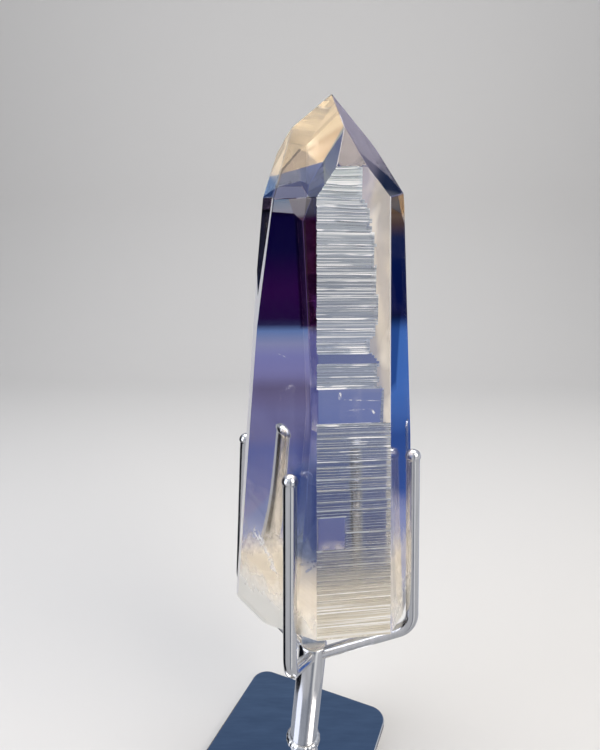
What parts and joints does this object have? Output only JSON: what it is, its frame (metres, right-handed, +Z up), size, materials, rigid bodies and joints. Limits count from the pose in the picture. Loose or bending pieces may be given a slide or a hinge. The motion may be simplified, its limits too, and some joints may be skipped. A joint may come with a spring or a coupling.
{
  "type": "quartz crystal point on a pronged stand",
  "caption": "Clear tapering quartz point with a ladder-ribbed front face and milky lower end, upright in a polished steel pronged holder on a thin square plate.",
  "frame": {"origin": "middle of the underside of the square plate, on the surface that the stand rests on", "axes": "+Z up along the crystal, -Y towards the ribbed front face, +X to the right of someone who looks at that face"},
  "size_m": [0.0489, 0.0448, 0.1409],
  "materials": {
    "quartz": "clear natural rock crystal, glossy faces, fine horizontal growth ridges on the front face, milky lower end",
    "plate_steel": "mirror-polished stainless sheet",
    "rod_steel": "polished stainless round rod with faint draw lines"
  },
  "bodies": {
    "root": {"crystal": "quartz", "base_plate": "plate_steel", "stem": "rod_steel", "prong_front": "rod_steel", "prong_right": "rod_steel", "prong_back": "rod_steel", "prong_left": "rod_steel"}
  },
  "joints": []
}
